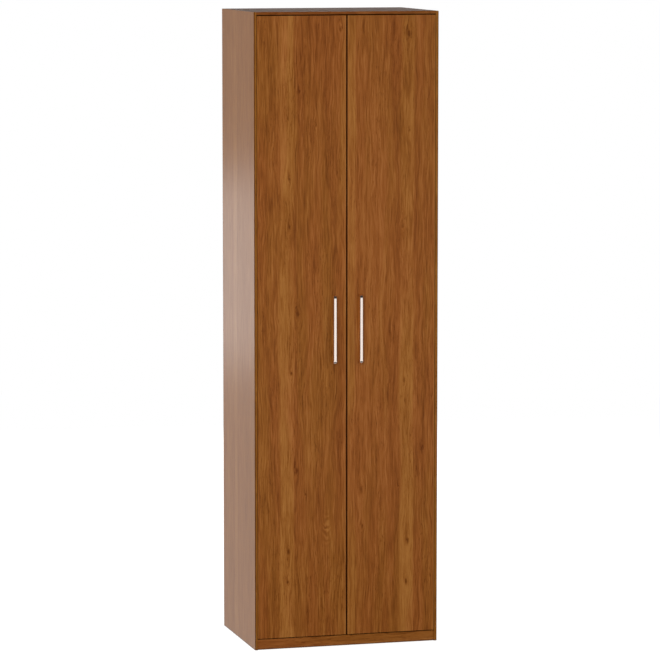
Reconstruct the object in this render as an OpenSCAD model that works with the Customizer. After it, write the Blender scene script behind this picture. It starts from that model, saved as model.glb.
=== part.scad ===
/* [Carcass] */
// Width over the side panels
wardrobe_w = 700; // [560:10:900]
// Height from the floor to the top edges
wardrobe_h = 2350; // [1900:10:2600]
// Depth from the front edges to the back edges of the side panels
wardrobe_d = 490; // [400:10:620]
// Thickness of the side panels and the top panel
board_t = 10; // [10:1:18]
// Thickness of the bottom panel, the hat shelf and the plinth boards
shelf_t = 16; // [15:1:22]
// Radius of the banded long edges
edge_r = 0.8; // [0.3:0.1:2]

/* [Plinth] */
// Height of the plinth and of the bottom panel's upper face
plinth_h = 38; // [36:1:120]
// Distance of the plinth's face behind the front edges
plinth_setback = 5; // [2:1:30]
// Distance of the rear plinth board in front of the back edges
rear_plinth_inset = 30; // [20:5:80]

/* [Doors] */
// Thickness of the doors
door_t = 16; // [16:1:20]
// Distance of the door faces behind the front edges of the carcass
door_recess = 0.5; // [0:0.1:2]
// Gap between a door and its side panel
side_gap = 1.6; // [1.6:0.1:4]
// Gap between the two doors
centre_gap = 4; // [2:0.5:6]
// Gap over the doors
top_gap = 4; // [2:0.5:8]
// Gap between the doors and the plinth
bottom_gap = 4; // [2:0.5:8]

/* [Handles] */
// Length over the ends of a handle
handle_l = 256; // [120:2:400]
// Width of the handle bar seen from the front
handle_w = 12; // [8:0.5:16]
// Thickness of the handle bar
handle_t = 8; // [6:0.5:12]
// Radius of the bar's rounded corners
handle_corner_r = 3; // [1:0.25:3]
// Inside radius of the two bends
handle_bend_r = 5; // [3:0.5:10]
// Distance of the bar's outer face from the door face
handle_reach = 28; // [24:1:45]
// Distance of the handle's centre line from the door's free edge
handle_inset = 48; // [30:1:90]
// Height of the handle's middle above the floor
handle_z = 1185; // [900:5:1300]

/* [Hinges] */
// Hinges on each door
hinges_per_door = 4; // [2:1:5]
// Distance of the end hinges from the door's ends
hinge_end_inset = 110; // [80:5:200]
// Diameter of the hinge cup
cup_d = 35; // [35:1:40]
// Depth of the cup's hole in the door
cup_depth = 12.5; // [12:0.1:13.5]
// Thickness of the cup's wall and floor
cup_wall = 0.8; // [0.6:0.1:1.2]
// Land between the door's hinge edge and the cup's hole
cup_edge = 4.5; // [4:0.5:7]
// Thickness of the cup's flange
flange_t = 1; // [0.8:0.1:1.2]
// Distance between the two screws of a cup
cup_screw_pitch = 48; // [45:1:52]
// Distance of the hinge pin from the door's hinge edge
pivot_from_edge = 16; // [16:0.5:18]
// Distance of the hinge pin behind the door's front face
pivot_depth = 7; // [7:0.1:7.4]
// Diameter of the hinge pin
pin_d = 2.5; // [2:0.1:2.6]
// Width of the hinge arm
arm_w = 12; // [10:0.5:13]
// Thickness of the hinge arm
arm_t = 2.2; // [1.8:0.1:2.4]
// Distance of the mounting plate's screws behind the door's back
plate_setback = 37; // [37:1:48]
// Distance between the two screws of a mounting plate
plate_screw_pitch = 32; // [32:1:40]
// Height of the mounting plate over the side panel
plate_h = 8; // [7:0.5:9]

/* [Back] */
// Thickness of the back panels
back_t = 3; // [2.5:0.5:4]
// Depth of the grooves that hold the back
groove_depth = 4; // [3:0.5:5]
// Distance of the grooves from the back edges
groove_inset = 10; // [8:1:20]
// Width of the strip that joins the two back panels
strip_w = 16; // [14:1:30]

/* [Hat shelf and rail] */
// Distance of the hat shelf's upper face below the top edges
shelf_drop = 380; // [250:10:450]
// Distance of the hat shelf's front edge behind the front edges
shelf_setback = 34; // [32:1:80]
// Distance of the rail's axis below the hat shelf
rail_drop = 60; // [50:5:120]
// Diameter of the hanging rail
rail_d = 25; // [20:1:30]
// Wall of the hanging rail
rail_wall = 1.2; // [1:0.1:2]
// Depth of the ring that holds the rail's end
socket_depth = 12; // [8:1:20]

/* [Fittings] */
// Diameter of the dowels
dowel_d = 6; // [5:0.5:8]
// Length of the dowels
dowel_l = 25; // [20:1:35]
// Diameter of the cam discs
cam_d = 12; // [12:0.5:15]
// Height of the cam discs
cam_h = 8; // [7.5:0.5:8.5]
// Distance of the cam's middle from the end of its board
cam_reach = 24; // [22:1:34]
// Diameter of the cam bolts
bolt_d = 5; // [4:0.5:5.5]
// Depth of the blind holes in the side panels
blind_depth = 8; // [7:0.5:8.5]
// Distance of the outer fittings from the front and back edges of the carcass
fitting_inset = 60; // [55:5:90]
// Distance between a cam bolt and its dowel
fitting_pitch = 32; // [25:1:50]
// Length of each leg of the plinth brackets
bracket_leg = 16; // [14:1:18]

/* [Hidden] */
$fn = 48;
cut = 1;
seat = 0.1;
running = 0.05;

// Carcass
inner_w = wardrobe_w - 2 * board_t;
front_y = handle_reach / 2 - door_recess / 2 - wardrobe_d / 2;
back_y = front_y + wardrobe_d;
groove_w = back_t + 2 * seat;
groove_y = back_y - groove_inset - groove_w;
plinth_y = front_y + plinth_setback;
bottom_z = plinth_h - shelf_t;
bottom_y = plinth_y + shelf_t;
rear_plinth_y = back_y - rear_plinth_inset - shelf_t;
top_z = wardrobe_h - board_t;
shelf_z = wardrobe_h - shelf_drop - shelf_t;
shelf_y = front_y + shelf_setback;
board_end_gap = 0.5;

// Back panels
back_slack = 0.5;
back_w = inner_w + 2 * (groove_depth - back_slack);
back_z0 = plinth_h - groove_depth + back_slack;
back_z1 = top_z + groove_depth - back_slack;
strip_web = 2;
strip_wall = 1;
strip_z = (back_z0 + back_z1) / 2;

// Doors and handles
door_w = (inner_w - 2 * side_gap - centre_gap) / 2;
door_z = plinth_h + bottom_gap;
door_h = top_z - top_gap - door_z;
door_front = door_recess;
door_back = door_recess + door_t;
handle_u = side_gap + door_w - handle_inset;
handle_hole_pitch = handle_l - handle_t;
handle_screw_d = 4;
handle_screw_grip = 9;

// Hinges, in u from the side panel's inner face and v from the carcass front
hinge_z0 = door_z + hinge_end_inset;
hinge_z1 = door_z + door_h - hinge_end_inset;
hinge_zs = [for (i = [0:hinges_per_door - 1]) hinge_z0 + (hinge_z1 - hinge_z0) * i / (hinges_per_door - 1)];
cup_u = side_gap + cup_edge + cup_d / 2;
cup_floor = door_back - cup_depth;
flange_rim = 2;
flange_bar_w = 15;
flange_bar_shift = 6;
cup_screw_u = cup_u + flange_bar_shift;
pivot = [side_gap + pivot_from_edge, door_front + pivot_depth];
knuckle_r = 2.3;
ear_gap = 0.4;
ear_t = 2.8;
ear_z = arm_w / 2 + ear_gap;
pin_l = 2 * (ear_z + ear_t);
plate_v = door_back + plate_setback;
plate_base_t = 2;
plate_base_w = 15;
plate_boss_w = 14;
plate_boss_front = 15;
plate_boss_back = 24;
arm_knee = [11.6, 5.9];
arm_crest_u = pivot[0] + 16.4;
arm_crest_v0 = door_back + 2.1;
arm_crest_v1 = door_back + 10;
arm_slope = [4, 26.5];
arm_seat_u = plate_h + arm_t / 2;
arm_seat_v0 = door_back + 22.5;
arm_end_gap = 2;
arm_seat_v1 = plate_v + plate_boss_back - arm_end_gap;
arm_path = [
    pivot,
    pivot + arm_knee,
    [arm_crest_u, arm_crest_v0],
    [arm_crest_u, arm_crest_v1],
    pivot + arm_slope,
    [arm_seat_u, arm_seat_v0],
    [arm_seat_u, arm_seat_v1]
];
arm_bend_l = 3;
bend_share = 0.45;
bend_steps = 5;
arm_fixing_v = plate_v + 10;
arm_adjuster_v = plate_v - 7;
arm_screw_d = 4;
arm_screw_head_d = 8;
arm_screw_head_h = 2;
arm_slot_play = 1.2;
adjuster_rise = 1;
thread_end_gap = 1;
cross_w = 1;
head_cross_l = 0.6 * arm_screw_head_d;
adjuster_cross_l = 0.75 * arm_screw_d;

// Fittings
cam_axis = board_t / 2;
cam_lines = [bottom_z, shelf_z, top_z];
front_fit = [front_y + fitting_inset, front_y + fitting_inset + fitting_pitch];
back_fit = [back_y - fitting_inset, back_y - fitting_inset - fitting_pitch];
cam_ys = [front_fit[0], back_fit[0]];
dowel_ys = [front_fit[1], back_fit[1]];
plinth_dowel_drop = 5;
plinth_dowels = [
    [plinth_y + shelf_t / 2, plinth_h / 2 - plinth_dowel_drop],
    [rear_plinth_y + shelf_t / 2, bottom_z / 2]
];
dowel_chamfer = 1;
dowel_end_gap = 0.5;
dowel_side_l = blind_depth - dowel_end_gap;
bolt_neck_d = bolt_d - 1.6;
bolt_neck_l = 3;
bolt_cone_l = 1;
bolt_ball_l = 1.5;
bolt_tip_gap = 0.5;
screw_d = 3.5;
screw_head_d = 7;
bracket_xs = [-inner_w / 3, inner_w / 3];
bracket_t = 2;
bracket_w = 20;
bracket_screw_l = 12;
bracket_hole = 0.6 * bracket_leg;
rail_z = shelf_z - rail_drop;
rail_y = (front_y + groove_y) / 2;
socket_flange_t = 3;
socket_flange_r = rail_d / 2 + 14;
socket_ring_t = 2.5;
socket_screw_r = rail_d / 2 + 8.5;
rail_end_gap = 0.3;
rail_l = inner_w - 2 * (socket_flange_t + rail_end_gap);
plate_screw_l = plate_base_t + blind_depth;
rail_screw_l = socket_flange_t + blind_depth;
cup_screw_l = 10;

walnut = [0.50, 0.29, 0.13];
hardboard = [0.58, 0.42, 0.28];
steel = [0.75, 0.76, 0.78];
bright = [0.93, 0.93, 0.95];
grey_plastic = [0.60, 0.60, 0.62];
beech = [0.80, 0.65, 0.45];

// Outline with rounded corners
module rounded_rect(w, d, r) {
    translate([r, 0]) square([w - 2 * r, d]);
    translate([0, r]) square([w, d - 2 * r]);
    for (x = [r, w - r], y = [r, d - r]) translate([x, y]) circle(r);
}

// Upright board with its four long edges softened
module upright_board(w, d, h) {
    linear_extrude(height = h) rounded_rect(w, d, edge_r);
}

// Lying board whose front and back edges are softened
module lying_board(w, d, t) {
    translate([w / 2, 0, 0]) rotate([90, 0, -90])
        linear_extrude(height = w) translate([-d, 0]) rounded_rect(d, t, edge_r);
}

// Screw along +Z with its head at the origin, its tip at l
module screw(d, l, head_d) {
    head_h = (head_d - d) / 2;
    slot_l = head_d / 2;
    slot_w = d / 4;
    difference() {
        union() {
            cylinder(d1 = head_d, d2 = d, h = head_h);
            cylinder(d = d, h = l - d);
            translate([0, 0, l - d]) cylinder(d1 = d, d2 = d / 4, h = d);
        }
        for (a = [0, 90]) rotate(a)
            translate([-slot_l / 2, -slot_w / 2, -cut]) cube([slot_l, slot_w, cut + head_h / 2]);
    }
}

// Hole that a screw sits in, with room for its head
module screw_hole(d, l, head_d) {
    cylinder(d = d + 2 * running, h = l + running);
    cylinder(d1 = head_d + 2 * running, d2 = d + 2 * running, h = (head_d - d) / 2);
}

// Both sides of the wardrobe, from a shape drawn on the left one
module on_both_sides() {
    children();
    mirror([1, 0, 0]) children();
}

// Places of the fittings in the left side panel, pointing into the wardrobe
module at_cam_bolts() {
    for (z = cam_lines, y = cam_ys)
        translate([-inner_w / 2, y, z + cam_axis]) rotate([0, 90, 0]) children();
}

module at_dowels() {
    for (z = cam_lines, y = dowel_ys)
        translate([-inner_w / 2, y, z + cam_axis]) rotate([0, 90, 0]) children();
    for (p = plinth_dowels) translate([-inner_w / 2, p[0], p[1]]) rotate([0, 90, 0]) children();
}

module at_cams() {
    for (z = cam_lines, y = cam_ys) translate([-inner_w / 2 + cam_reach, y, z]) children();
}

module fitting_holes() {
    bolt_hole_l = blind_depth + cam_reach;
    dowel_hole_l = dowel_l + 2 * dowel_end_gap;
    on_both_sides() {
        at_cam_bolts() translate([0, 0, -blind_depth]) cylinder(d = bolt_d + 2 * running, h = bolt_hole_l);
        at_dowels() translate([0, 0, -blind_depth]) cylinder(d = dowel_d + 2 * running, h = dowel_hole_l);
        at_cams() translate([0, 0, -cut]) cylinder(d = cam_d + 2 * running, h = cam_h + cut);
    }
}

// Screw places of one hinge, in the hinge's own frame
module plate_screw_places() {
    for (s = [-1, 1])
        translate([plate_base_t, plate_v, s * plate_screw_pitch / 2]) rotate([0, -90, 0]) children();
}

module cup_screw_places() {
    for (s = [-1, 1])
        translate([cup_screw_u, door_back + flange_t, s * cup_screw_pitch / 2])
            rotate([90, 0, 0]) children();
}

// Hinge places on the left side, u along X, v along Y
module at_hinges() {
    for (z = hinge_zs) translate([-inner_w / 2, front_y, z]) children();
}

module at_plate_screws() {
    at_hinges() plate_screw_places() children();
}

module at_cup_screws() {
    at_hinges() cup_screw_places() children();
}

module at_handle_screws() {
    x = -inner_w / 2 + handle_u;
    y = front_y + door_back;
    for (s = [-1, 1])
        translate([x, y, handle_z + s * handle_hole_pitch / 2]) rotate([90, 0, 0]) children();
}

module at_rail_screws() {
    x = -inner_w / 2 + socket_flange_t;
    for (s = [-1, 1]) translate([x, rail_y, rail_z + s * socket_screw_r]) rotate([0, -90, 0]) children();
}

// Bracket places under the bottom panel: the corner between a plinth board and the panel
module at_brackets() {
    for (x = bracket_xs) {
        translate([x, bottom_y, bottom_z]) children();
        translate([x, rear_plinth_y, bottom_z]) mirror([0, 1, 0]) children();
    }
}

// Carcass boards
module side_board() {
    difference() {
        translate([-wardrobe_w / 2, front_y, 0]) upright_board(board_t, wardrobe_d, wardrobe_h);
        translate([-inner_w / 2 - groove_depth, groove_y, -cut])
            cube([groove_depth + cut, groove_w, wardrobe_h + 2 * cut]);
        fitting_holes();
        at_plate_screws() screw_hole(screw_d, plate_screw_l, screw_d);
        at_rail_screws() screw_hole(screw_d, rail_screw_l, screw_d);
    }
}

module left_side_panel() color(walnut) side_board();
module right_side_panel() color(walnut) mirror([1, 0, 0]) side_board();

module top_panel() {
    color(walnut) difference() {
        translate([0, front_y, top_z]) lying_board(inner_w, wardrobe_d, board_t);
        translate([-inner_w / 2 - cut, groove_y, top_z - cut])
            cube([inner_w + 2 * cut, groove_w, groove_depth + cut]);
        fitting_holes();
    }
}

module bottom_panel() {
    color(walnut) difference() {
        translate([0, bottom_y, bottom_z]) lying_board(inner_w, back_y - bottom_y, shelf_t);
        translate([-inner_w / 2 - cut, groove_y, plinth_h - groove_depth])
            cube([inner_w + 2 * cut, groove_w, groove_depth + cut]);
        fitting_holes();
        on_bracket_panels() screw_hole(screw_d, bracket_screw_l, screw_head_d);
    }
}

module front_plinth() {
    color(walnut) difference() {
        translate([0, plinth_y, 0]) lying_board(inner_w, shelf_t, plinth_h);
        fitting_holes();
        on_bracket_plinths() screw_hole(screw_d, bracket_screw_l, screw_head_d);
    }
}

module rear_plinth() {
    color(walnut) difference() {
        translate([0, rear_plinth_y, 0]) lying_board(inner_w, shelf_t, bottom_z);
        fitting_holes();
        on_bracket_plinths() screw_hole(screw_d, bracket_screw_l, screw_head_d);
    }
}

module hat_shelf() {
    color(walnut) difference() {
        translate([0, shelf_y, shelf_z]) lying_board(inner_w, groove_y - board_end_gap - shelf_y, shelf_t);
        fitting_holes();
    }
}

// Back panels and the strip between them
module back_sheet(z0, z1) {
    color(hardboard) translate([-back_w / 2, groove_y + seat, z0]) cube([back_w, back_t, z1 - z0]);
}

module upper_back_panel() back_sheet(strip_z + strip_web / 2, back_z1);
module lower_back_panel() back_sheet(back_z0, strip_z - strip_web / 2);

module back_joint_strip() {
    strip_l = inner_w - 2 * board_end_gap;
    color(grey_plastic) translate([-strip_l / 2, groove_y + seat, strip_z]) {
        translate([0, 0, -strip_web / 2]) cube([strip_l, back_t, strip_web]);
        for (y = [-strip_wall, back_t])
            translate([0, y, -strip_w / 2]) cube([strip_l, strip_wall, strip_w]);
    }
}

// Hanging rail and its sockets
module hanging_rail() {
    color(bright) translate([-rail_l / 2, rail_y, rail_z]) rotate([0, 90, 0]) difference() {
        cylinder(d = rail_d, h = rail_l);
        translate([0, 0, -cut]) cylinder(d = rail_d - 2 * rail_wall, h = rail_l + 2 * cut);
    }
}

module rail_socket() {
    ring_r = rail_d / 2 + seat;
    color(bright) difference() {
        translate([-inner_w / 2, rail_y, rail_z]) rotate([0, 90, 0]) {
            cylinder(r = socket_flange_r, h = socket_flange_t);
            difference() {
                cylinder(r = ring_r + socket_ring_t, h = socket_flange_t + socket_depth);
                translate([0, 0, socket_flange_t]) cylinder(r = ring_r, h = socket_depth + cut);
            }
        }
        at_rail_screws() screw_hole(screw_d, rail_screw_l, screw_head_d);
    }
}

module left_rail_socket() rail_socket();
module right_rail_socket() mirror([1, 0, 0]) rail_socket();
module rail_socket_screws() {
    color(steel) on_both_sides() at_rail_screws() screw(screw_d, rail_screw_l, screw_head_d);
}

// Flat-pack fittings
module dowel() {
    tip_d = dowel_d - 2 * dowel_chamfer;
    translate([0, 0, -dowel_side_l]) {
        cylinder(d1 = tip_d, d2 = dowel_d, h = dowel_chamfer);
        translate([0, 0, dowel_chamfer]) cylinder(d = dowel_d, h = dowel_l - 2 * dowel_chamfer);
        translate([0, 0, dowel_l - dowel_chamfer]) cylinder(d1 = dowel_d, d2 = tip_d, h = dowel_chamfer);
    }
}

// Threaded root, shank, neck and ball-ended head
module cam_bolt() {
    head_z = cam_reach - bolt_tip_gap - bolt_ball_l - bolt_cone_l;
    neck_z = head_z - bolt_neck_l;
    translate([0, 0, -blind_depth + seat]) cylinder(d = bolt_d, h = blind_depth - seat + neck_z);
    translate([0, 0, neck_z]) cylinder(d = bolt_neck_d, h = bolt_neck_l);
    translate([0, 0, head_z]) cylinder(d1 = bolt_neck_d, d2 = bolt_d, h = bolt_cone_l);
    translate([0, 0, head_z + bolt_cone_l]) cylinder(d = bolt_d, h = bolt_ball_l);
}

// Disc with the mouth that takes the bolt's head and a cross on its face
module cam_disc() {
    mouth_d = bolt_d + 4 * seat;
    slot_l = 2 * cam_d / 3;
    slot_w = 1.5;
    slot_depth = 1;
    difference() {
        cylinder(d = cam_d, h = cam_h - running);
        translate([0, 0, cam_axis]) rotate([0, -90, 0]) cylinder(d = mouth_d, h = cam_d);
        translate([0, 0, cam_axis]) sphere(d = mouth_d);
        for (a = [45, 135]) rotate(a)
            translate([-slot_l / 2, -slot_w / 2, -cut]) cube([slot_l, slot_w, cut + slot_depth]);
    }
}

module dowels() color(beech) on_both_sides() at_dowels() dowel();
module cam_bolts() color(steel) on_both_sides() at_cam_bolts() cam_bolt();
module cam_discs() color(steel) on_both_sides() at_cams() cam_disc();

// Angle brackets in the corner of plinth and bottom panel
module on_bracket_panels() {
    at_brackets() translate([0, bracket_hole, -bracket_t]) children();
}

module on_bracket_plinths() {
    at_brackets() translate([0, bracket_t, -bracket_hole]) rotate([90, 0, 0]) children();
}

module plinth_brackets() {
    color(steel) difference() {
        at_brackets() translate([-bracket_w / 2, 0, 0]) {
            translate([0, 0, -bracket_t]) cube([bracket_w, bracket_leg, bracket_t]);
            translate([0, 0, -bracket_leg]) cube([bracket_w, bracket_t, bracket_leg]);
        }
        on_bracket_panels() screw_hole(screw_d, bracket_screw_l, screw_head_d);
        on_bracket_plinths() screw_hole(screw_d, bracket_screw_l, screw_head_d);
    }
}

module bracket_screws() {
    color(steel) {
        on_bracket_panels() screw(screw_d, bracket_screw_l, screw_head_d);
        on_bracket_plinths() screw(screw_d, bracket_screw_l, screw_head_d);
    }
}

// Doors
module door_leaf() {
    color(walnut) difference() {
        translate([-inner_w / 2 + side_gap, front_y + door_front, door_z])
            upright_board(door_w, door_t, door_h);
        at_hinges() translate([cup_u, door_back + cut, 0]) rotate([90, 0, 0])
            cylinder(d = cup_d + 2 * running, h = cup_depth + cut);
        at_cup_screws() screw_hole(screw_d, cup_screw_l, screw_head_d);
        at_handle_screws() translate([0, 0, -cut])
            cylinder(d = handle_screw_d + 4 * seat, h = door_t + 2 * cut);
    }
}

module left_door() door_leaf();
module right_door() mirror([1, 0, 0]) door_leaf();

// Bow handles: two legs, two bends and a straight grip of the same rounded bar
module bar_section() {
    translate([-handle_w / 2, -handle_t / 2]) rounded_rect(handle_w, handle_t, handle_corner_r);
}

module bow_handle() {
    bend_r = handle_bend_r + handle_t / 2;
    leg_l = handle_reach - handle_bend_r - handle_t;
    grip_l = handle_hole_pitch - 2 * bend_r;
    color(bright) translate([-inner_w / 2 + handle_u, front_y + door_front, handle_z]) difference() {
        union() {
            translate([0, -leg_l - bend_r, -grip_l / 2]) linear_extrude(height = grip_l) bar_section();
            for (s = [0, 1]) mirror([0, 0, s]) {
                translate([0, -leg_l, grip_l / 2]) rotate([0, 90, 0]) rotate([0, 0, 180])
                    rotate_extrude(angle = 90) translate([bend_r, 0]) rotate(90) bar_section();
                translate([0, 0, handle_hole_pitch / 2]) rotate([90, 0, 0])
                    linear_extrude(height = leg_l) bar_section();
            }
        }
        for (s = [-1, 1]) translate([0, cut, s * handle_hole_pitch / 2]) rotate([90, 0, 0])
            cylinder(d = handle_screw_d + 2 * running, h = handle_screw_grip + 2 * cut);
    }
}

module left_handle() bow_handle();
module right_handle() mirror([1, 0, 0]) bow_handle();

// Pan-headed machine screws through the door into the handle's legs
module handle_screw() {
    head_d = 2 * handle_screw_d;
    head_h = handle_screw_d / 2;
    difference() {
        union() {
            translate([0, 0, -head_h]) cylinder(d1 = head_d - head_h, d2 = head_d, h = head_h);
            cylinder(d = handle_screw_d, h = door_t + handle_screw_grip);
        }
        cross_recess(head_d / 2, -head_h);
    }
}

module left_handle_screws() color(steel) at_handle_screws() handle_screw();
module right_handle_screws() mirror([1, 0, 0]) left_handle_screws();

// Concealed hinges: a cup in the door, a cranked arm on a plate in the carcass, one pin between them
module flange_outline() {
    circle(d = cup_d + 2 * flange_rim);
    translate([flange_bar_shift - flange_bar_w / 2, -cup_screw_pitch / 2])
        square([flange_bar_w, cup_screw_pitch]);
    for (s = [-1, 1]) translate([flange_bar_shift, s * cup_screw_pitch / 2]) circle(d = flange_bar_w);
}

module hinge_cup() {
    inner_r = cup_d / 2 - cup_wall;
    inner_depth = cup_depth - cup_wall;
    ear_foot = cup_floor + cup_wall / 2;
    difference() {
        union() {
            translate([cup_u, door_back, 0]) rotate([90, 0, 0]) difference() {
                cylinder(d = cup_d, h = cup_depth - running);
                translate([0, 0, -cut]) cylinder(r = inner_r, h = inner_depth + cut);
            }
            translate([cup_u, door_back + flange_t, 0]) rotate([90, 0, 0])
                linear_extrude(height = flange_t) difference() {
                    flange_outline();
                    circle(r = inner_r);
                }
            for (s = [0, 1]) mirror([0, 0, s]) translate([pivot[0], 0, ear_z]) {
                translate([0, pivot[1], 0]) cylinder(r = knuckle_r, h = ear_t);
                translate([-knuckle_r, ear_foot, 0]) cube([2 * knuckle_r, pivot[1] - ear_foot, ear_t]);
            }
        }
        translate([pivot[0], pivot[1], -pin_l / 2 - cut])
            cylinder(d = pin_d + running, h = pin_l + 2 * cut);
        cup_screw_places() screw_hole(screw_d, cup_screw_l, screw_head_d);
    }
}

// Centre line of the arm with each bend rounded
function toward(p, q, d) = p + (q - p) * min(d / norm(q - p), bend_share);
function bend(p, q, r) = [
    for (i = [0:bend_steps])
        let (s = i / bend_steps, a = toward(q, p, arm_bend_l), b = toward(q, r, arm_bend_l))
            (1 - s) * (1 - s) * a + 2 * s * (1 - s) * q + s * s * b
];
function rounded_path(path) = concat(
    [path[0]],
    [for (i = [1:len(path) - 2]) each bend(path[i - 1], path[i], path[i + 1])],
    [path[len(path) - 1]]
);

// One side of a strip along a path, at distance d
function left_normal(p, q) = [p[1] - q[1], q[0] - p[0]] / norm(q - p);
function side_point(path, i, d) =
    let (
        last = len(path) - 1,
        a = left_normal(path[max(i - 1, 0)], path[max(i, 1)]),
        b = left_normal(path[min(i, last - 1)], path[min(i + 1, last)])
    )
    path[i] + d * (a + b) / (1 + a * b);

module strip(path, t) {
    last = len(path) - 1;
    polygon(concat(
        [for (i = [0:last]) side_point(path, i, t / 2)],
        [for (i = [last:-1:0]) side_point(path, i, -t / 2)]
    ));
}

module hinge_arm() {
    over_seat = arm_seat_u + arm_t;
    difference() {
        translate([0, 0, -arm_w / 2]) linear_extrude(height = arm_w) difference() {
            union() {
                strip(rounded_path(arm_path), arm_t);
                translate(pivot) circle(r = knuckle_r);
            }
            translate(pivot) circle(d = pin_d + 2 * running);
        }
        translate([over_seat, arm_fixing_v, 0]) rotate([0, -90, 0])
            cylinder(d = arm_screw_d + arm_slot_play, h = 2 * arm_t);
        translate([over_seat, arm_adjuster_v, 0]) rotate([0, -90, 0])
            cylinder(d = arm_screw_d + 2 * seat, h = 2 * arm_t);
    }
}

// Cross-shaped plate: a wing with two screw holes and a boss that the arm lies on
module mounting_plate() {
    boss_l = plate_boss_front + plate_boss_back;
    hole_l = plate_h - plate_base_t;
    difference() {
        union() {
            rotate([0, 90, 0]) linear_extrude(height = plate_base_t) translate([0, plate_v]) {
                translate([-plate_screw_pitch / 2, -plate_base_w / 2])
                    square([plate_screw_pitch, plate_base_w]);
                for (s = [-1, 1]) translate([s * plate_screw_pitch / 2, 0]) circle(d = plate_base_w);
            }
            translate([0, plate_v - plate_boss_front, -plate_boss_w / 2])
                cube([plate_h, boss_l, plate_boss_w]);
        }
        plate_screw_places() screw_hole(screw_d, plate_screw_l, screw_head_d);
        for (v = [arm_fixing_v, arm_adjuster_v]) translate([plate_h + cut, v, 0]) rotate([0, -90, 0])
            cylinder(d = arm_screw_d + 2 * seat, h = hole_l + cut);
    }
}

// Cross recess in a head whose top is at z
module cross_recess(l, z) {
    for (a = [0, 90]) rotate(a)
        translate([-l / 2, -cross_w / 2, z - cut]) cube([l, cross_w, cut + cross_w]);
}

// Fixing screw with a flat head on the arm, and the adjusting screw beside it
module arm_screw_pair() {
    arm_top = plate_h + arm_t;
    thread_l = arm_t + plate_h - plate_base_t - thread_end_gap;
    translate([arm_top, arm_fixing_v, 0]) rotate([0, -90, 0]) {
        difference() {
            translate([0, 0, -arm_screw_head_h]) cylinder(d = arm_screw_head_d, h = arm_screw_head_h);
            cross_recess(head_cross_l, -arm_screw_head_h);
        }
        cylinder(d = arm_screw_d, h = thread_l);
    }
    translate([arm_top, arm_adjuster_v, 0]) rotate([0, -90, 0]) difference() {
        translate([0, 0, -adjuster_rise]) cylinder(d = arm_screw_d, h = adjuster_rise + thread_l);
        cross_recess(adjuster_cross_l, -adjuster_rise);
    }
}

module left_hinge_cups() color(steel) at_hinges() hinge_cup();
module right_hinge_cups() mirror([1, 0, 0]) left_hinge_cups();
module left_cup_screws() color(steel) at_cup_screws() screw(screw_d, cup_screw_l, screw_head_d);
module right_cup_screws() mirror([1, 0, 0]) left_cup_screws();
module hinge_pin() translate([pivot[0], pivot[1], -pin_l / 2]) cylinder(d = pin_d, h = pin_l);
module left_hinge_pins() color(steel) at_hinges() hinge_pin();
module right_hinge_pins() mirror([1, 0, 0]) left_hinge_pins();
module left_hinge_arms() color(steel) at_hinges() hinge_arm();
module right_hinge_arms() mirror([1, 0, 0]) left_hinge_arms();
module left_arm_screws() color(steel) at_hinges() arm_screw_pair();
module right_arm_screws() mirror([1, 0, 0]) left_arm_screws();
module left_mounting_plates() color(steel) at_hinges() mounting_plate();
module right_mounting_plates() mirror([1, 0, 0]) left_mounting_plates();
module left_plate_screws() color(steel) at_plate_screws() screw(screw_d, plate_screw_l, screw_head_d);
module right_plate_screws() mirror([1, 0, 0]) left_plate_screws();

left_side_panel();
right_side_panel();
top_panel();
bottom_panel();
front_plinth();
rear_plinth();
hat_shelf();
upper_back_panel();
lower_back_panel();
back_joint_strip();
hanging_rail();
left_rail_socket();
right_rail_socket();
rail_socket_screws();
dowels();
cam_bolts();
cam_discs();
plinth_brackets();
bracket_screws();
left_door();
right_door();
left_handle();
right_handle();
left_handle_screws();
right_handle_screws();
left_hinge_cups();
right_hinge_cups();
left_cup_screws();
right_cup_screws();
left_hinge_pins();
right_hinge_pins();
left_hinge_arms();
right_hinge_arms();
left_arm_screws();
right_arm_screws();
left_mounting_plates();
right_mounting_plates();
left_plate_screws();
right_plate_screws();
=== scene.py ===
import math
from typing import NamedTuple

import bpy
from mathutils import Matrix, Vector

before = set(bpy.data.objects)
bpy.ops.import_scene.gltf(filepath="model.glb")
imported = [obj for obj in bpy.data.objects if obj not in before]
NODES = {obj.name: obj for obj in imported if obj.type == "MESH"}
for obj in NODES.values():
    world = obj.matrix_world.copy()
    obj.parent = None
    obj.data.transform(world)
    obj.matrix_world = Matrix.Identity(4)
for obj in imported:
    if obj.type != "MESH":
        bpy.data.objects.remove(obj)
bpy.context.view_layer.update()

# Units: metres in the scene, millimetres in the materials, linear colours everywhere
MM_PER_M = 1000.0

# Camera, fitted to the photograph's corners
IMAGE_PX = 660
FOCAL_PX = 3626.0
SENSOR_MM = 36.0
CAMERA_AT = (-3.543, -13.011, 2.732)
YAW = math.radians(15.23)
PITCH = math.radians(6.67)
CLIP_END = 200.0

# Sockets of a Mix node that mixes colours
MIX_FACTOR, MIX_A, MIX_B = 0, 6, 7
MIX_RESULT = 2


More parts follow.
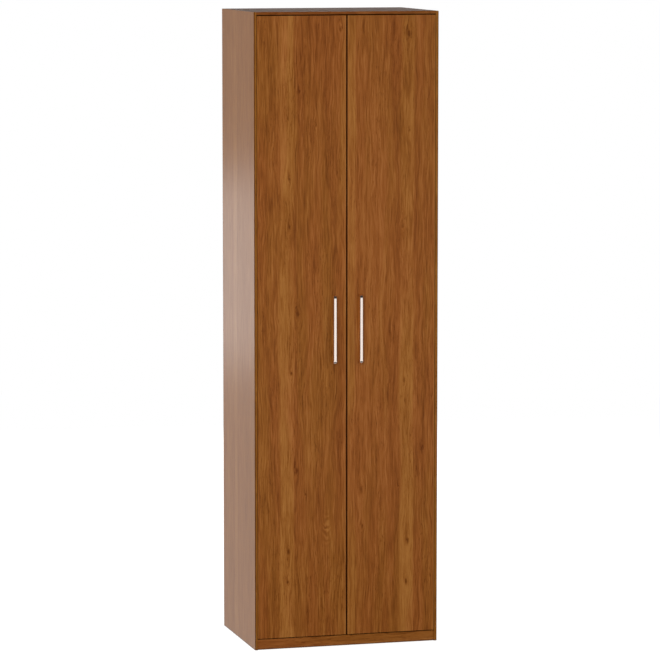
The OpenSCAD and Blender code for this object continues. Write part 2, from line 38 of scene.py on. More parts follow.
class Graph:
    """A material's node tree, with one short call for each kind of node."""

    def __init__(self, name):
        self.material = bpy.data.materials.new(name)
        self.material.use_nodes = True
        self.tree = self.material.node_tree
        self.tree.nodes.clear()

    def put(self, socket, value):
        """Link another socket into this one, or set its own value."""
        if isinstance(value, bpy.types.NodeSocket):
            self.tree.links.new(value, socket)
        elif socket.type == "RGBA":
            socket.default_value = (*value, 1.0)
        else:
            socket.default_value = value

    def node(self, kind, inputs=None, **props):
        made = self.tree.nodes.new(kind)
        for key, value in props.items():
            setattr(made, key, value)
        for key, value in (inputs or {}).items():
            self.put(made.inputs[key], value)
        return made

    def math(self, operation, a, b=0.0, c=0.0):
        return self.node("ShaderNodeMath", {0: a, 1: b, 2: c}, operation=operation).outputs[0]

    def add(self, *terms):
        total = terms[0]
        for term in terms[1:]:
            total = self.math("ADD", total, term)
        return total

    def times(self, a, b):
        return self.math("MULTIPLY", a, b)

    def less(self, a, b):
        return self.math("SUBTRACT", a, b)

    def vector(self, x, y, z):
        return self.node("ShaderNodeCombineXYZ", {0: x, 1: y, 2: z}).outputs[0]

    def noise(self, vector, detail=2.0, roughness=0.5):
        inputs = {"Vector": vector, "Scale": 1.0, "Detail": detail, "Roughness": roughness}
        return self.node("ShaderNodeTexNoise", inputs).outputs["Fac"]

    def range(self, value, low, high, to_low=0.0, to_high=1.0):
        """A smooth step from one value to another."""
        inputs = {
            "Value": value, "From Min": low, "From Max": high,
            "To Min": to_low, "To Max": to_high,
        }
        made = self.node("ShaderNodeMapRange", inputs, interpolation_type="SMOOTHSTEP")
        return made.outputs[0]

    def mix(self, factor, a, b, blend="MIX"):
        made = self.node("ShaderNodeMix", data_type="RGBA", blend_type=blend)
        for index, value in ((MIX_FACTOR, factor), (MIX_A, a), (MIX_B, b)):
            self.put(made.inputs[index], value)
        return made.outputs[MIX_RESULT]

    def ramp(self, factor, stops):
        """Colours along a factor. stops are pairs of a place and a colour."""
        made = self.node("ShaderNodeValToRGB", {0: factor})
        points = made.color_ramp.elements
        while len(points) < len(stops):
            points.new(0.5)
        for point, (place, colour) in zip(points, stops):
            point.position = place
            point.color = (*colour, 1.0)
        return made.outputs[0]

    def object_mm(self):
        """Object coordinates in millimetres, as x, y and z."""
        where = self.node("ShaderNodeTexCoord").outputs["Object"]
        parts = self.node("ShaderNodeSeparateXYZ", {0: where}).outputs
        return [self.times(part, MM_PER_M) for part in parts]

    def normal_y(self):
        """How squarely a face looks to the back, in object space."""
        normal = self.node("ShaderNodeTexCoord").outputs["Normal"]
        return self.node("ShaderNodeSeparateXYZ", {0: normal}).outputs[1]

    def bump(self, height, distance, strength):
        inputs = {"Height": height, "Distance": distance, "Strength": strength}
        return self.node("ShaderNodeBump", inputs).outputs[0]

    def surface(self, **inputs):
        """The shader. An underscore in a keyword stands for a space."""
        named = {key.replace("_", " "): value for key, value in inputs.items()}
        shader = self.node("ShaderNodeBsdfPrincipled", named)
        self.node("ShaderNodeOutputMaterial", {"Surface": shader.outputs[0]})


# A noise's mean, and where most of its values lie
NOISE_MEAN = 0.5
NOISE_LOW, NOISE_HIGH = 0.3, 0.7


class Cells(NamedTuple):
    """A stretched noise: size of its cells in millimetres, shift of the seed, octaves."""

    size: tuple
    shift: float = 0.0
    detail: float = 2.0
    roughness: float = 0.5


def stretched(g, place, size, shift=0.0):
    """Noise coordinates whose cells have this size in millimetres."""
    return g.vector(*[
        g.math("MULTIPLY_ADD", value, 1.0 / length, shift) for value, length in zip(place, size)
    ])


def cell_noise(g, place, cells, seed=0.0):
    """The noise of these cells at a place in millimetres."""
    where = stretched(g, place, cells.size, seed + cells.shift)
    return g.noise(where, cells.detail, cells.roughness)


def gauss(g, value, width):
    """A bell over value, one at zero."""
    ratio = g.math("ABSOLUTE", g.times(value, 1.0 / width))
    return g.math("EXPONENT", g.times(g.math("POWER", ratio, 2.0), -1.0))


def spot(g, across, along, width, length):
    """A bell over two distances, one where both are zero."""
    return g.times(gauss(g, across, width), gauss(g, along, length))


# Walnut print: colours of dark, middle and light wood, and of the two hues it drifts between
DARK = (0.121, 0.030, 0.0020)
MID = (0.239, 0.0742, 0.0112)
LIGHT = (0.350, 0.133, 0.030)
REDDISH = (0.250, 0.065, 0.0125)
OLIVE = (0.231, 0.0855, 0.0096)
WALNUT_RAMP = ((0.05, DARK), (0.5, MID), (0.95, LIGHT))
MIDDLE_TONE = 0.475
TINT = 0.28
HUE_SPAN = (0.35, 0.68)
HUE_OF_BELLY = 0.14

# Its gloss: specular level, mean roughness, and what dark wood adds and light wood takes off
SHEEN = 0.13
GLOSS = 0.31
DARK_ROUGHER = 0.04
LIGHT_SMOOTHER = 0.03

# Noises of the print. Sizes run across, into and along the grain.
SLOW = Cells((150, 150, 1100), 0.0, 1.0)
QUICK = Cells((75, 60, 220), 3.1)
SMALL = Cells((22, 40, 75), 4.9)
DEPTH = Cells((30, 60, 62), 7.7)
RINGS = Cells((13, 90, 420), 0.0, 4.0, 0.62)
BANDS = Cells((70, 120, 1500), 1.7, 1.0)
STREAKS = Cells((4.6, 30, 120), 5.3, 3.0, 0.66)
FIBRES = Cells((2.2, 8, 80), 9.9)
DASHES = Cells((5.0, 20, 85), 8.8)
GLINTS = Cells((6.0, 20, 90), 0.7)
FLECKS = Cells((2.4, 8, 20), 2.2, 1.0)
PATCHES = Cells((55, 90, 300), 4.4)
MOTTLE = Cells((60, 60, 150), 2.9)
BELLY = Cells((400, 400, 260), 12.6)
HUE = Cells((60, 60, 620), 6.6, 1.0)

# Where the sparse marks set in and are full, on their noise
DASHES_SPAN = (0.56, 0.70)
GLINTS_SPAN = (0.58, 0.74)
FLECKS_SPAN = (0.60, 0.72)
PATCHES_SPAN = (-0.08, 0.12)
BELLY_SPAN = (-0.22, 0.10)
FAINTEST_BELLY = 0.45

# How far the grain wanders and the rings lie under the face, in millimetres
WANDER = 46.0
DOOR_WANDER = 14.0
QUICK_BEND = 27.0
SMALL_BEND = 3.5
RISE_CELL = 330.0
RISE = 62.0
DEPTH_WAVE = 22.0

# Pale bands along the grain: place, half width and strength, and the softness of both edges
HEART_BAND = (0.0, 26.0, 1.0)
NEAR_EDGE = (-5.0, 4.0)
FAR_EDGE = (-3.0, 3.0)

# Share of each figure in the tone, negative where it darkens
SHARES = {
    "rings": 0.66, "bands": 0.45, "streaks": 1.15, "fibres": 0.85, "mottle": 0.20,
    "belly": 0.24, "dashes": -0.17, "glints": 0.16, "flecks": -0.32,
    "knots": -0.70, "ladders": 0.26,
}

# A knot, in radii across and along: its core, its tail above one side, and the grain it pushes
CORE = (0.75, 1.9)
TAIL = (0.8, 4.5)
TAIL_RISE = 3.0
TAIL_SHARE = 0.45
PUSHED = (3.4, 9.0)
PUSH = 0.8
RAGGED = Cells((7, 50, 13), 3.3)
RAGGED_BY = 9.0

# Curly figure: how its bars bow and how unevenly they are spaced
BOW = -0.05
UNEVEN = Cells((16, 50, 26), 6.0)
UNEVEN_BY = 40.0

# How squarely a face looks to the front or the back, from where it starts to count
FACING_FRONT = (0.5, 0.9)
FACING_BACK = (0.6, 0.8)

# Painted shade and painted highlights along the boards' edges: where they start and are
# full, in millimetres. The outline and the foot are painted shade on the outer front edge
# and along the floor, the seam painted shade beside the gap between the doors. A painted
# highlight on a door's edge has its place, its width and how much paler it is.
OUTLINE_X = (346.3, 347.2)
OUTLINE_SHADE_COLOUR = (0.060, 0.016, 0.002)
FOOT_Z = (2.5, 5.0)
FOOT_SHADE_COLOUR = (0.045, 0.016, 0.004)
GAP_SHADE_X = (3.2, 4.2)
GAP_SHADE_COLOUR = (0.066, 0.013, 0.001)
INNER_EDGE_HIGHLIGHT = (6.6, 2.2, 0.32)
OUTER_EDGE_HIGHLIGHT = (336.4, 2.4, 0.55)

# Grain of the laminate's bump: what each figure adds, and its depth in metres and strength
STREAKS_RAISED = 0.5
FIBRES_RAISED = 0.5
FLECKS_RAISED = -0.6
LAMINATE_BUMP = (0.00006, 0.6)

# Raw board edges
CHIP_SIZE = (2.2, 1.6, 2.2)
CHIP_RAMP = ((0.0, (0.20, 0.12, 0.06)), (0.5, (0.40, 0.28, 0.15)), (1.0, (0.56, 0.43, 0.26)))
CHIP_ROUGHNESS = 0.85


def knot_marks(g, u, w, knots, seed):
    """Darkness of the knots, and how far they push the grain aside."""
    dark = push = 0.0
    if not knots:
        return dark, push
    ragged = g.less(cell_noise(g, (u, 0.0, w), RAGGED, seed), NOISE_MEAN)
    u = g.math("MULTIPLY_ADD", ragged, RAGGED_BY, u)
    for across, along, radius, strength in knots:
        du = g.less(u, across)
        dw = g.less(w, along)
        near = spot(g, du, dw, PUSHED[0] * radius, PUSHED[1] * radius)
        push = g.add(push, g.times(near, g.times(du, PUSH)))
        core = spot(g, du, dw, CORE[0] * radius, CORE[1] * radius)
        beside = g.add(du, radius)
        above = g.add(dw, -TAIL_RISE * radius)
        tail = spot(g, beside, above, TAIL[0] * radius, TAIL[1] * radius)
        dark = g.add(dark, g.times(core, strength), g.times(tail, TAIL_SHARE * strength))
    return dark, push


def ladder_marks(g, u, w, ladders):
    """Short bars of curly figure across the grain."""
    bars = 0.0
    if not ladders:
        return bars
    uneven = g.times(cell_noise(g, (u, 0.0, w), UNEVEN), UNEVEN_BY)
    for across, along, width, length, pitch in ladders:
        du = g.less(u, across)
        bow = g.times(g.times(du, du), BOW)
        wave = g.math("SINE", g.times(g.add(w, bow, uneven), math.tau / pitch))
        window = spot(g, du, g.less(w, along), width, length)
        bars = g.add(bars, g.times(window, wave))
    return bars


def pale_bands(g, straight, bands):
    """Pale wood along the heart and along any other band."""
    belly = 0.0
    for middle, half, strength in bands:
        start, end = middle - half, middle + half
        low = g.range(straight, start + NEAR_EDGE[0], start + NEAR_EDGE[1])
        high = g.range(straight, end + FAR_EDGE[0], end + FAR_EDGE[1], 1.0, 0.0)
        belly = g.add(belly, g.times(g.times(low, high), strength))
    return belly


def facing_front(g):
    """One on the faces that look to the front, zero on the others."""
    return g.range(g.times(g.normal_y(), -1.0), *FACING_FRONT)


def painted_outline_shade(g, xyz, colour, share):
    """Painted shade: the rounded outer front edge of the side panels, turned darker."""
    outer = g.range(g.math("ABSOLUTE", xyz[0]), *OUTLINE_X)
    outline = g.times(outer, facing_front(g))
    return g.mix(g.times(outline, share), colour, OUTLINE_SHADE_COLOUR)


def painted_foot_shade(g, xyz, colour, share):
    """Painted shade along the lower edge, where the board meets the floor."""
    low_edge = g.range(xyz[2], *FOOT_Z, 1.0, 0.0)
    return g.mix(g.times(low_edge, share), colour, FOOT_SHADE_COLOUR)


def painted_gap_shade_and_highlights(g, xyz, colour, share):
    """Painted shade on a door's face beside the gap between the doors, and painted highlights
    along its rounded edges.
    """
    from_middle = g.math("ABSOLUTE", xyz[0])
    # Painted highlights beside the middle gap and on the right door's outer edge
    edge_highlights = g.add(*[
        g.times(gauss(g, g.less(place, at), width), paler)
        for place, (at, width, paler) in ((from_middle, INNER_EDGE_HIGHLIGHT), (xyz[0], OUTER_EDGE_HIGHLIGHT))
    ])
    colour = g.mix(edge_highlights, colour, LIGHT)
    # Painted shade beside the middle gap
    line = g.range(from_middle, *GAP_SHADE_X, 1.0, 0.0)
    return g.mix(g.times(line, share), colour, GAP_SHADE_COLOUR)


def chipboard(g, place):
    """Colour of a raw board edge: pressed chips."""
    where = stretched(g, place, CHIP_SIZE)
    chips = g.node("ShaderNodeTexVoronoi", {"Vector": where}).outputs["Color"]
    tone = g.node("ShaderNodeSeparateColor", {0: chips}).outputs[0]
    return g.ramp(tone, CHIP_RAMP)


def walnut(name, order, seed, heart, knots=(), ladders=(), pale=(), wander=WANDER,
           contrast=1.0, olive=0.0, tint=TINT,
           raw_back=False, rim=0.0, edge=0.0, seam=0.0, foot=0.0):
    """Walnut-print laminate.

    order says which axes run across, into and along the grain, and heart where the
    pale heart lies across it. knots, ladders and pale list its larger marks. wander is
    how far the grain strays, and contrast how strong the figure is. olive and tint shift
    its hue. rim is the share of painted shade on the outer front edge, edge that of a
    darker front edge, seam that of painted shade beside the door gap with painted
    highlights on the door's edges, and foot that of painted shade along the lower edge.
    raw_back bares the chips on its rear edge.
    """
    g = Graph(name)
    xyz = g.object_mm()
    u, v, w = (xyz["xyz".index(axis)] for axis in order)
    dark_knot, push = knot_marks(g, u, w, knots, seed)

    def centred(cells):
        return g.less(cell_noise(g, (u, v, w), cells, seed), NOISE_MEAN)

    slow = g.times(centred(SLOW), wander)
    quick = g.times(centred(QUICK), QUICK_BEND)
    small = g.times(centred(SMALL), SMALL_BEND)
    straight = g.add(g.less(u, heart), slow, small)
    across = g.add(g.less(straight, push), quick, small)

    # Growth rings cut nearly flat: arches over the heart, straight lines beside it
    up = g.math("MULTIPLY_ADD", w, 1.0 / RISE_CELL, seed)
    rise = g.noise(g.vector(seed, 0.5, up), detail=1.0)
    depth = g.add(g.times(rise, RISE), g.times(centred(DEPTH), DEPTH_WAVE))
    squares = g.add(g.math("POWER", across, 2.0), g.math("POWER", depth, 2.0))
    rings = cell_noise(g, (g.math("SQRT", squares), v, w), RINGS)

    def along(cells):
        return cell_noise(g, (across, v, w), cells, seed)

    streaks = along(STREAKS)
    fibres = along(FIBRES)
    patches = g.range(centred(PATCHES), *PATCHES_SPAN)
    flecks = g.times(g.range(along(FLECKS), *FLECKS_SPAN), patches)
    fading = g.range(centred(BELLY), *BELLY_SPAN, FAINTEST_BELLY, 1.0)
    belly = g.times(pale_bands(g, straight, (HEART_BAND, *pale)), fading)
    marks = {
        "rings": g.less(rings, NOISE_MEAN),
        "bands": g.less(along(BANDS), NOISE_MEAN),
        "streaks": g.less(streaks, NOISE_MEAN),
        "fibres": g.less(fibres, NOISE_MEAN),
        "mottle": centred(MOTTLE),
        "belly": belly,
        "dashes": g.range(along(DASHES), *DASHES_SPAN),
        "glints": g.range(along(GLINTS), *GLINTS_SPAN),
        "flecks": flecks,
        "knots": dark_knot,
        "ladders": ladder_marks(g, u, w, ladders),
    }
    figure = g.add(*[g.times(mark, SHARES[key]) for key, mark in marks.items()])
    tone = g.math("MULTIPLY_ADD", figure, contrast, MIDDLE_TONE)

    colour = g.ramp(tone, WALNUT_RAMP)
    hue = g.add(along(HUE), g.times(belly, HUE_OF_BELLY), olive)
    warm = g.mix(g.range(hue, *HUE_SPAN), REDDISH, OLIVE)
    ratio = g.mix(1.0, warm, MID, blend="DIVIDE")
    tinted = g.mix(1.0, colour, ratio, blend="MULTIPLY")
    colour = g.mix(tint, colour, tinted)
    rough = g.range(tone, 0.0, 1.0, GLOSS + DARK_ROUGHER, GLOSS - LIGHT_SMOOTHER)

    if edge:
        # Front-facing edge, drawn a shade darker than the faces
        colour = g.mix(g.times(facing_front(g), edge), colour, DARK)
    # Painted shade on the rounded outer front edge
    if rim:
        colour = painted_outline_shade(g, xyz, colour, rim)
    # Painted shade along the lower edge at the floor
    if foot:
        colour = painted_foot_shade(g, xyz, colour, foot)
    # Painted shade beside the door gap, and painted highlights on the door's edges
    if seam:
        colour = painted_gap_shade_and_highlights(g, xyz, colour, seam)
    if raw_back:
        facing = g.range(g.normal_y(), *FACING_BACK)
        colour = g.mix(facing, colour, chipboard(g, xyz))
        rough = g.math("MAXIMUM", rough, g.times(facing, CHIP_ROUGHNESS))
    height = g.add(
        g.times(streaks, STREAKS_RAISED),
        g.times(fibres, FIBRES_RAISED),
        g.times(flecks, FLECKS_RAISED),
    )
    g.surface(
        Base_Color=colour,
        Roughness=rough,
        Specular_IOR_Level=SHEEN,
        Normal=g.bump(height, *LAMINATE_BUMP),
    )
    return g.material


# Back panels: pressed fibre on the wall's side, a printed grain inside
FUZZ = Cells((1.6, 1.6, 1.6), 0.0, 4.0, 0.7)
CLOUDS = Cells((160, 160, 160), 0.0, 3.0)
PRINT = Cells((6, 6, 300), 4.0, 3.0, 0.6)
FUZZ_SHARE = 0.75
CLOUDS_SHARE = 0.25
BARE_RAMP = ((0.3, (0.13, 0.06, 0.025)), (0.7, (0.25, 0.125, 0.055)))
PRINT_RAMP = ((0.25, (0.135, 0.043, 0.008)), (0.75, (0.25, 0.098, 0.027)))
PRINT_ROUGHNESS = 0.45
BARE_ROUGHNESS = 0.8
BOARD_FACING = (0.3, 0.6)
SCREEN_PER_MM = 3.0
SCREEN_SHARE = 0.2
BOARD_BUMP = (0.0002, 0.5)


def hardboard():
    """Back panels: printed brown inside, bare pressed fibre on the wall's side."""
    g = Graph("hardboard")
    xyz = g.object_mm()
    fuzz = cell_noise(g, xyz, FUZZ)
    clouds = cell_noise(g, xyz, CLOUDS)
    bare = g.ramp(g.add(g.times(fuzz, FUZZ_SHARE), g.times(clouds, CLOUDS_SHARE)), BARE_RAMP)
    printed = g.ramp(cell_noise(g, xyz, PRINT), PRINT_RAMP)
    facing = g.range(g.normal_y(), *BOARD_FACING)
    # Imprint of the wire screen the board was pressed on
    waves = [g.math("SINE", g.times(xyz[axis], SCREEN_PER_MM)) for axis in (0, 2)]
    screen = g.times(g.times(*waves), SCREEN_SHARE)
    height = g.times(facing, g.add(fuzz, screen))
    g.surface(
        Base_Color=g.mix(facing, printed, bare),
        Roughness=g.range(facing, 0.0, 1.0, PRINT_ROUGHNESS, BARE_ROUGHNESS),
        Normal=g.bump(height, *BOARD_BUMP),
    )
    return g.material


# Chrome: its waviness and smears, and the two tones of each kind
WAVES = Cells((9, 9, 40), 0.0, 1.0)
SMEARS = Cells((4, 4, 22), 3.0, 3.0)
CHROME_ROUGHNESS = (0.07, 0.13)
CHROME_BUMP = (0.0001, 0.4)
WARM_TONES = ((0.93, 0.79, 0.71), (0.98, 0.85, 0.76))
NEUTRAL_TONES = ((0.80, 0.79, 0.78), (0.88, 0.87, 0.86))


def chrome(name, low, high):
    """Polished bars with the faint waviness and smears of plated metal."""
    g = Graph(name)
    xyz = g.object_mm()
    smear = cell_noise(g, xyz, SMEARS)
    g.surface(
        Base_Color=g.ramp(smear, ((NOISE_LOW, low), (NOISE_HIGH, high))),
        Metallic=1.0,
        Roughness=g.range(smear, NOISE_LOW, NOISE_HIGH, *CHROME_ROUGHNESS),
        Normal=g.bump(cell_noise(g, xyz, WAVES), *CHROME_BUMP),
    )
    return g.material


# Plated fittings: their drawn grain and stains
DRAWN = Cells((0.5, 3.0, 3.0), 0.0, 3.0, 0.6)
STAINS = Cells((7, 7, 7), 2.0)
STAIN_SHADE = 0.8
SMOOTHER, ROUGHER = 0.06, 0.08
DRAWN_STRENGTH = 0.4


def plated(name, base, rough, depth):
    """Pressed, plated fittings with a fine drawn grain of this depth in metres."""
    g = Graph(name)
    xyz = g.object_mm()
    drawn = cell_noise(g, xyz, DRAWN)
    stains = cell_noise(g, xyz, STAINS)
    darker = tuple(STAIN_SHADE * part for part in base)
    g.surface(
        Base_Color=g.ramp(stains, ((NOISE_LOW, darker), (NOISE_HIGH, base))),
        Metallic=1.0,
        Roughness=g.range(drawn, NOISE_LOW, NOISE_HIGH, rough - SMOOTHER, rough + ROUGHER),
        Normal=g.bump(drawn, depth, DRAWN_STRENGTH),
    )
    return g.material


# Beech dowels
BEECH_FIBRES = Cells((9, 0.7, 0.7))
BEECH_COLOURS = ((0.46, 0.27, 0.12), (0.66, 0.44, 0.23))
BEECH_ROUGHNESS = 0.7
BEECH_BUMP = (0.0001, 0.5)


def beech():
    """Dowels, with fibres along them."""
    g = Graph("beech")
    fibre = cell_noise(g, g.object_mm(), BEECH_FIBRES)
    low, high = BEECH_COLOURS
    g.surface(
        Base_Color=g.ramp(fibre, ((NOISE_LOW, low), (NOISE_HIGH, high))),
        Roughness=BEECH_ROUGHNESS,
        Normal=g.bump(fibre, *BEECH_BUMP),
    )
    return g.material


# Plastic strip
SPECKS = Cells((0.6, 0.6, 0.6))
DRAWN_LINES = Cells((200, 1.2, 1.2), 0.0, 1.0)
STRIP_COLOURS = ((0.10, 0.045, 0.018), (0.135, 0.062, 0.026))
STRIP_ROUGHNESS = (0.42, 0.55)
STRIP_BUMP = (0.00005, 0.4)


def plastic():
    """The strip between the back panels, with the lines of its extrusion."""
    g = Graph("plastic_strip")
    xyz = g.object_mm()
    speck = cell_noise(g, xyz, SPECKS)
    lines = cell_noise(g, xyz, DRAWN_LINES)
    low, high = STRIP_COLOURS
    g.surface(
        Base_Color=g.ramp(lines, ((NOISE_LOW, low), (NOISE_HIGH, high))),
        Roughness=g.range(speck, NOISE_LOW, NOISE_HIGH, *STRIP_ROUGHNESS),
        Normal=g.bump(speck, *STRIP_BUMP),
    )
    return g.material


# Knots of the doors: across, along and radius in millimetres, and strength
LEFT_KNOTS = (
    (-178, 2061, 3.0, 0.9), (-24, 2286, 5.0, 0.8), (-218, 1747, 5.0, 0.9),
    (-115, 1938, 3.0, 0.7), (-216, 1566, 4.6, 0.9), (-186, 1247, 6.0, 0.8),
    (-212, 1026, 5.0, 0.7), (-190, 663, 6.0, 0.9), (-157, 576, 2.6, 0.9),
    (-222, 363, 5.5, 0.9), (-224, 249, 4.2, 1.0),
)
RIGHT_KNOTS = (
    (237, 2268, 5.5, 1.0), (240, 1914, 2.6, 0.8), (216, 1560, 4.0, 0.6),
    (222, 988, 5.0, 0.8), (292, 733, 4.5, 0.7), (199, 594, 3.2, 0.7),
    (57, 585, 6.0, 0.7), (60, 448, 4.4, 0.7), (236, 384, 6.5, 1.0),
    (230, 231, 5.5, 1.0),
)
# Curly figure: across, along, width, length and pitch of the bars in millimetres
LEFT_LADDERS = ((-77, 442, 12, 48, 25),)
# Pale bands beside the heart: distance from it and half width in millimetres, strength
LEFT_PALE = ((220.0, 9.0, 0.6),)
RIGHT_PALE = ((-214.0, 15.0, 0.7),)

# What both side panels share, with the share of painted shade along their foot
SIDE_LOOK = {"contrast": 0.55, "olive": 0.3, "tint": 0.75, "raw_back": True, "foot": 0.55}

# Each board has its own seed, and its heart in millimetres
# rim, seam and foot below are shares of painted shade and painted highlights along the edges
LOOKS = {
    "left_door": walnut(
        "walnut_left_door", "xyz", 11.3, -228.0,
        LEFT_KNOTS, LEFT_LADDERS, LEFT_PALE, wander=DOOR_WANDER, seam=0.2,
    ),
    "right_door": walnut(
        "walnut_right_door", "xyz", 27.9, 231.0,
        RIGHT_KNOTS, pale=RIGHT_PALE, wander=DOOR_WANDER, seam=0.9,
    ),
    "left_side_panel": walnut("walnut_left_side", "yxz", 41.2, 60.0, rim=0.85, **SIDE_LOOK),
    "right_side_panel": walnut("walnut_right_side", "yxz", 53.8, -70.0, rim=0.3, **SIDE_LOOK),
    "top_panel": walnut("walnut_top", "yzx", 61.5, 40.0, raw_back=True, edge=0.5),
    "bottom_panel": walnut("walnut_bottom", "yzx", 72.1, -30.0, raw_back=True),
    "hat_shelf": walnut("walnut_shelf", "yzx", 83.6, 10.0),
    "front_plinth": walnut("walnut_front_plinth", "zyx", 94.4, -60.0, foot=0.6),
    "rear_plinth": walnut("walnut_rear_plinth", "zyx", 105.7, 90.0, raw_back=True),
}
BACK = hardboard()
HANDLE_CHROME = chrome("warm_chrome", *WARM_TONES)
RAIL_CHROME = chrome("chrome", *NEUTRAL_TONES)
STEEL = plated("nickel_steel", (0.60, 0.60, 0.59), rough=0.28, depth=0.00004)
ZINC = plated("zinc", (0.50, 0.51, 0.53), rough=0.42, depth=0.00008)
BEECH = beech()
STRIP = plastic()
ZINC_NODES = ("cam_discs", "plinth_brackets", "bracket_screws")


def look_of(node):
    """The material of a CAD node."""
    if node in LOOKS:
        return LOOKS[node]
    if "back_panel" in node:
        return BACK
    if node == "back_joint_strip":
        return STRIP
    if node == "dowels":
        return BEECH
    if node in ZINC_NODES:
        return ZINC
    if node.endswith("_handle"):
        return HANDLE_CHROME
    if "rail" in node and "screws" not in node:
        return RAIL_CHROME
    return STEEL


for name, obj in NODES.items():
    material = look_of(name)
    if not obj.material_slots:
        obj.data.materials.append(material)
    for slot in obj.material_slots:
        slot.material = material


# Studio, in metres. DOME is the level of the even light from around.
WHITE = (1, 1, 1)
DOME = 0.42
FLOOR_R = 60.0
FLOOR_SIDES = 64
FLOOR_Z = -0.0004
FLOOR_GLOW = 0.80
FLOOR_GREY = (0.40, 0.40, 0.40)
NEAR_FLOOR_R = 2.5
FAR_FLOOR_R = 7.0


class Lamp(NamedTuple):
    """A soft lamp: where it hangs, where it points, its two sides in metres, its watts."""

    name: str
    place: tuple
    target: tuple
    size: tuple
    power: float
    in_gloss: bool = False


# Grey boards that show only in reflections: name, corners, level
CARDS = (
    ("ceiling", ((-9, -14, 3.5), (9, -14, 3.5), (9, 12, 3.5), (-9, 12, 3.5)), 0.05),
    ("left_wall", ((-7, -14, 0), (-7, 9, 0), (-7, 9, 4.2), (-7, -14, 4.2)), 0.22),
    ("right_wall", ((7, -14, 0), (7, 9, 0), (7, 9, 4.2), (7, -14, 4.2)), 0.16),
    ("back_left", ((-9, 9, 0), (-0.5, 9, 0), (-0.5, 9, 4.2), (-9, 9, 4.2)), 0.66),
    ("back_right", ((-0.5, 9, 0), (9, 9, 0), (9, 9, 4.2), (-0.5, 9, 4.2)), 0.95),
    (
        "floor_left",
        ((-4, -0.2, 0.003), (-0.36, -0.2, 0.003), (-0.36, 9, 0.003), (-4, 9, 0.003)),
        1.0,
    ),
    (
        "floor_front",
        ((-2, -3, 0.002), (2, -3, 0.002), (2, -0.27, 0.002), (-2, -0.27, 0.002)),
        0.22,
    ),
)

LAMPS = (
    Lamp("key", (-2.6, -5.5, 2.6), (0.0, 0.0, 1.2), (3.0, 3.0), 210.0),
    Lamp("fill", (3.6, -4.5, 2.0), (0.0, 0.0, 1.2), (3.0, 3.0), 61.0),
    Lamp("side", (-5.0, 0.6, 1.9), (0.0, 0.0, 1.5), (2.6, 2.6), 122.0),
    Lamp("right_side", (5.0, 0.6, 1.5), (0.0, 0.0, 1.2), (2.6, 2.6), 110.0),
    Lamp("rear", (0.6, 5.5, 1.2), (0.0, 0.0, 1.2), (3.0, 2.0), 112.0),
    Lamp("rim", (-1.35, 3.4, 1.03), (-0.3, 0.0, 1.03), (1.6, 0.9), 5.8, in_gloss=True),
)


def seen_rays(tree):
    """One for camera, glossy and transmission rays, zero for the rest."""
    path = tree.nodes.new("ShaderNodeLightPath")
    total = path.outputs["Is Camera Ray"]
    for key in ("Is Glossy Ray", "Is Transmission Ray"):
        add = tree.nodes.new("ShaderNodeMath")
        add.operation = "ADD"
        add.use_clamp = True
        tree.links.new(total, add.inputs[0])
        tree.links.new(path.outputs[key], add.inputs[1])
        total = add.outputs[0]
    return total


def floor_material():
    """A pale floor that is white to the camera, and keeps the shadow near the wardrobe."""
    g = Graph("floor")
    seen = seen_rays(g.tree)
    x, y, _ = g.object_mm()
    away = g.math("SQRT", g.add(g.times(x, x), g.times(y, y)))
    far = g.range(away, NEAR_FLOOR_R * MM_PER_M, FAR_FLOOR_R * MM_PER_M)
    glow = {0: WHITE, 1: g.times(seen, FLOOR_GLOW)}
    near_light = g.node("ShaderNodeEmission", glow).outputs[0]
    near_body = g.node("ShaderNodeBsdfDiffuse", {0: FLOOR_GREY}).outputs[0]
    near = g.node("ShaderNodeAddShader", {0: near_light, 1: near_body}).outputs[0]
    far_light = g.node("ShaderNodeEmission", {0: WHITE, 1: seen}).outputs[0]
    mixed = g.node("ShaderNodeMixShader", {0: far, 1: near, 2: far_light}).outputs[0]
    g.node("ShaderNodeOutputMaterial", {"Surface": mixed})
    return g.material


def flat_face(name, corners, material):
    """An object of one face, not yet in the scene."""
    mesh = bpy.data.meshes.new(name)
    mesh.from_pydata(corners, [], [tuple(range(len(corners)))])
    obj = bpy.data.objects.new(name, mesh)
    obj.data.materials.append(material)
    return obj


def make_floor():
    """A wide round floor, a hair under the wardrobe."""
    angles = [math.tau * i / FLOOR_SIDES for i in range(FLOOR_SIDES)]
    ring = [(FLOOR_R * math.cos(a), FLOOR_R * math.sin(a), 0.0) for a in angles]
    obj = flat_face("floor", ring, floor_material())
    obj.location.z = FLOOR_Z
    bpy.context.scene.collection.objects.link(obj)


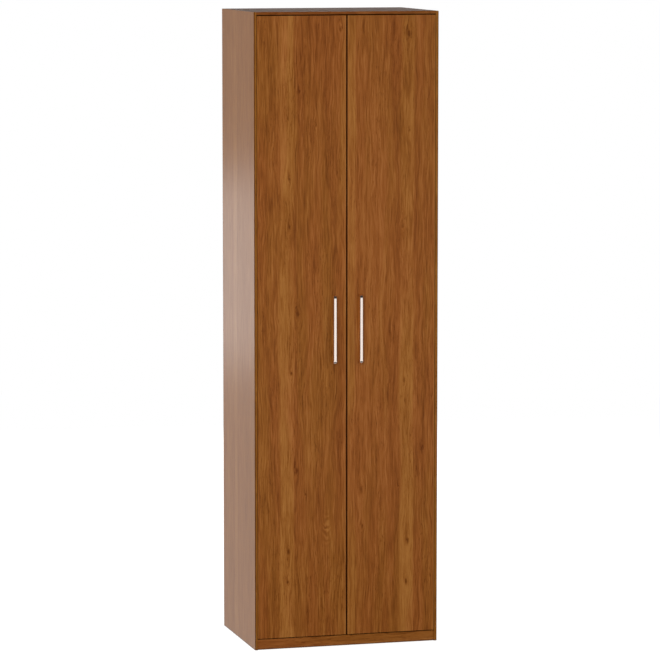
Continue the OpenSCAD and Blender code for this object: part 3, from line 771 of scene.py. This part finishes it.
def make_card(name, corners, level):
    """A grey board beside the set, as in a photographer's studio."""
    g = Graph(name)
    shine = g.node("ShaderNodeEmission", {0: WHITE, 1: level}).outputs[0]
    g.node("ShaderNodeOutputMaterial", {"Surface": shine})
    obj = flat_face(name, corners, g.material)
    obj.visible_camera = False
    obj.visible_diffuse = False
    obj.visible_transmission = False
    obj.visible_shadow = False
    bpy.context.scene.collection.objects.link(obj)


def make_world():
    """White to the camera and to metal, a dimmer even dome for the rest."""
    world = bpy.data.worlds.new("studio")
    world.use_nodes = True
    tree = world.node_tree
    back = tree.nodes["Background"]
    seen = seen_rays(tree)
    level = tree.nodes.new("ShaderNodeMapRange")
    level.inputs["To Min"].default_value = DOME
    level.inputs["To Max"].default_value = 1.0
    tree.links.new(seen, level.inputs["Value"])
    tree.links.new(level.outputs[0], back.inputs["Strength"])
    back.inputs["Color"].default_value = (*WHITE, 1)
    bpy.context.scene.world = world


def make_lamp(lamp):
    """A rectangular area light, hidden from the camera."""
    light = bpy.data.lights.new(lamp.name, "AREA")
    light.shape = "RECTANGLE"
    light.size, light.size_y = lamp.size
    light.energy = lamp.power
    obj = bpy.data.objects.new(lamp.name, light)
    obj.location = lamp.place
    ahead = Vector(lamp.target) - Vector(lamp.place)
    obj.rotation_euler = ahead.to_track_quat("-Z", "Y").to_euler()
    obj.visible_camera = False
    obj.visible_glossy = lamp.in_gloss
    bpy.context.scene.collection.objects.link(obj)


def make_camera():
    """The camera, at the photograph's angle and with its framing."""
    data = bpy.data.cameras.new("camera")
    data.sensor_fit = "HORIZONTAL"
    data.sensor_width = SENSOR_MM
    data.lens = FOCAL_PX * SENSOR_MM / IMAGE_PX
    data.clip_end = CLIP_END
    obj = bpy.data.objects.new("camera", data)
    flat = math.cos(PITCH)
    ahead = Vector((math.sin(YAW) * flat, math.cos(YAW) * flat, -math.sin(PITCH)))
    right = Vector((math.cos(YAW), -math.sin(YAW), 0.0))
    up = right.cross(ahead)
    turn = Matrix((right, up, -ahead)).transposed().to_4x4()
    obj.matrix_world = Matrix.Translation(CAMERA_AT) @ turn
    bpy.context.scene.collection.objects.link(obj)
    bpy.context.scene.camera = obj


make_floor()
make_world()
make_camera()
for card in CARDS:
    make_card(*card)
for lamp in LAMPS:
    make_lamp(lamp)

bpy.context.scene.view_settings.view_transform = "Standard"
